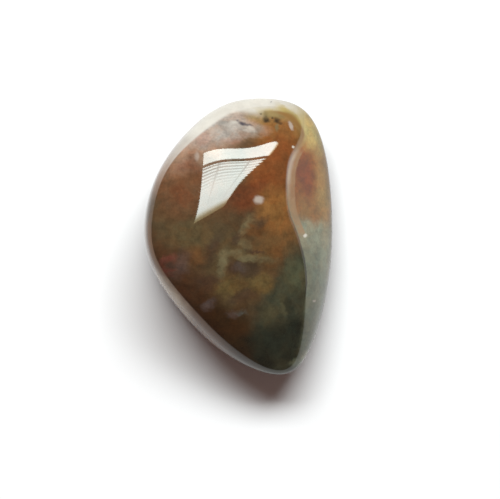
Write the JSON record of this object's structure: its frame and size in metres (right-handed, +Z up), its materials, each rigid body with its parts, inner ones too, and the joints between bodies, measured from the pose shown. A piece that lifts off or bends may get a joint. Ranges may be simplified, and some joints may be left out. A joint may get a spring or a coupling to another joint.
{
  "type": "tumbled sardonyx pebble",
  "caption": "Polished tumbled sardonyx pebble: a smooth rounded wedge with worn faces, lying on a small flat spot.",
  "frame": {"origin": "middle of the underside of the stone's bounding box, on the surface that it lies on", "axes": "+Z up, away from the flat spot; +Y along the stone's length, towards its broad rounded end; +X towards its straight steep side"},
  "size_m": [0.0144, 0.0212, 0.0092],
  "materials": {
    "sardonyx": "tumble-polished, glossy and slightly translucent, mottled brown, rust, olive and grey-green with a paler rim"
  },
  "bodies": {
    "root": {"stone": "sardonyx"}
  },
  "joints": []
}
